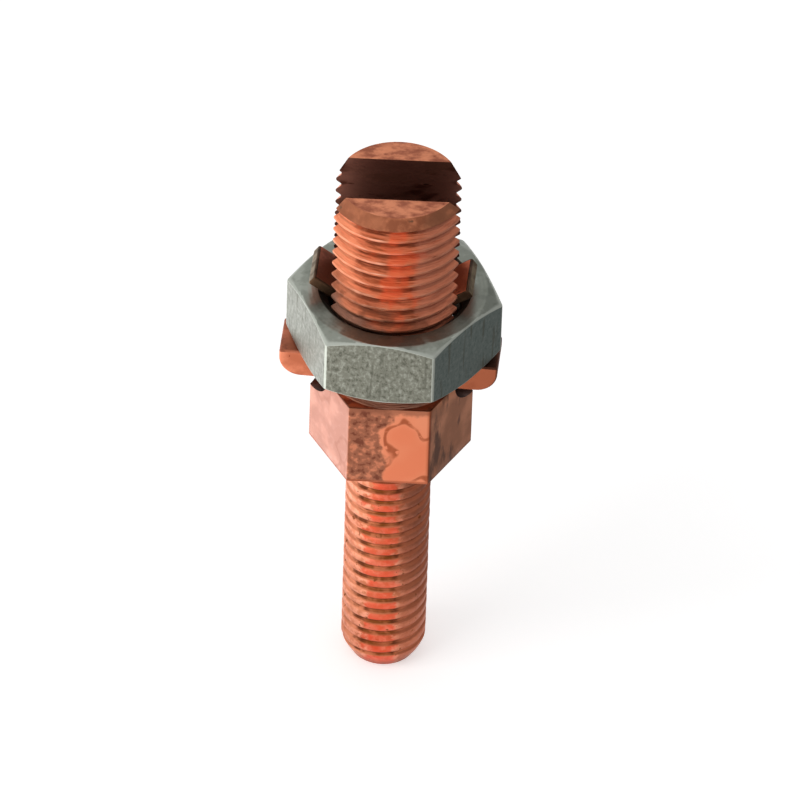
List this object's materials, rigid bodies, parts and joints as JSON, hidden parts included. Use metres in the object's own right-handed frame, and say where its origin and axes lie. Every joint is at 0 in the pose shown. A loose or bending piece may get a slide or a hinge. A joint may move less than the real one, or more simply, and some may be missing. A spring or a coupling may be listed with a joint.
{
  "type": "terminal post connector",
  "caption": "Split copper terminal post with a wire slot, hexagon collar and threaded mounting stud, closed by a zinc-plated hexagon nut that drives a copper pressure bar down the slot.",
  "frame": {"origin": "centre of the collar's underside, on the post's axis, where the mounting stud begins", "axes": "+Z along the post from the stud towards the split top, X along the wire slot, Y across the slot"},
  "size_m": [0.0245, 0.0222, 0.0669],
  "materials": {
    "post_copper": "bare copper, thread-cut, dulled with dark stains",
    "nut_zinc": "zinc-plated steel, mottled grey flats and faced ends",
    "bar_copper": "bare formed copper, dulled in the recesses"
  },
  "bodies": {
    "post_body": {"post": "post_copper"},
    "bar_body": {"pressure_bar": "bar_copper"},
    "nut_body": {"clamp_nut": "nut_zinc"}
  },
  "joints": [
    {"name": "bar_slide", "type": "slide", "parent": "post_body", "child": "bar_body", "axis": [0, 0, 1], "range_m": [-0.0002, 0.0143]},
    {"name": "nut_turn", "type": "hinge", "parent": "bar_body", "child": "nut_body", "pos_m": [0, 0, 0.0177], "axis": [0, 0, 1], "range_deg": [-45, 3240]}
  ],
  "couplings": [
    {"joint": "bar_slide", "follows": "nut_turn", "m_per_rad": 0.00025266}
  ]
}
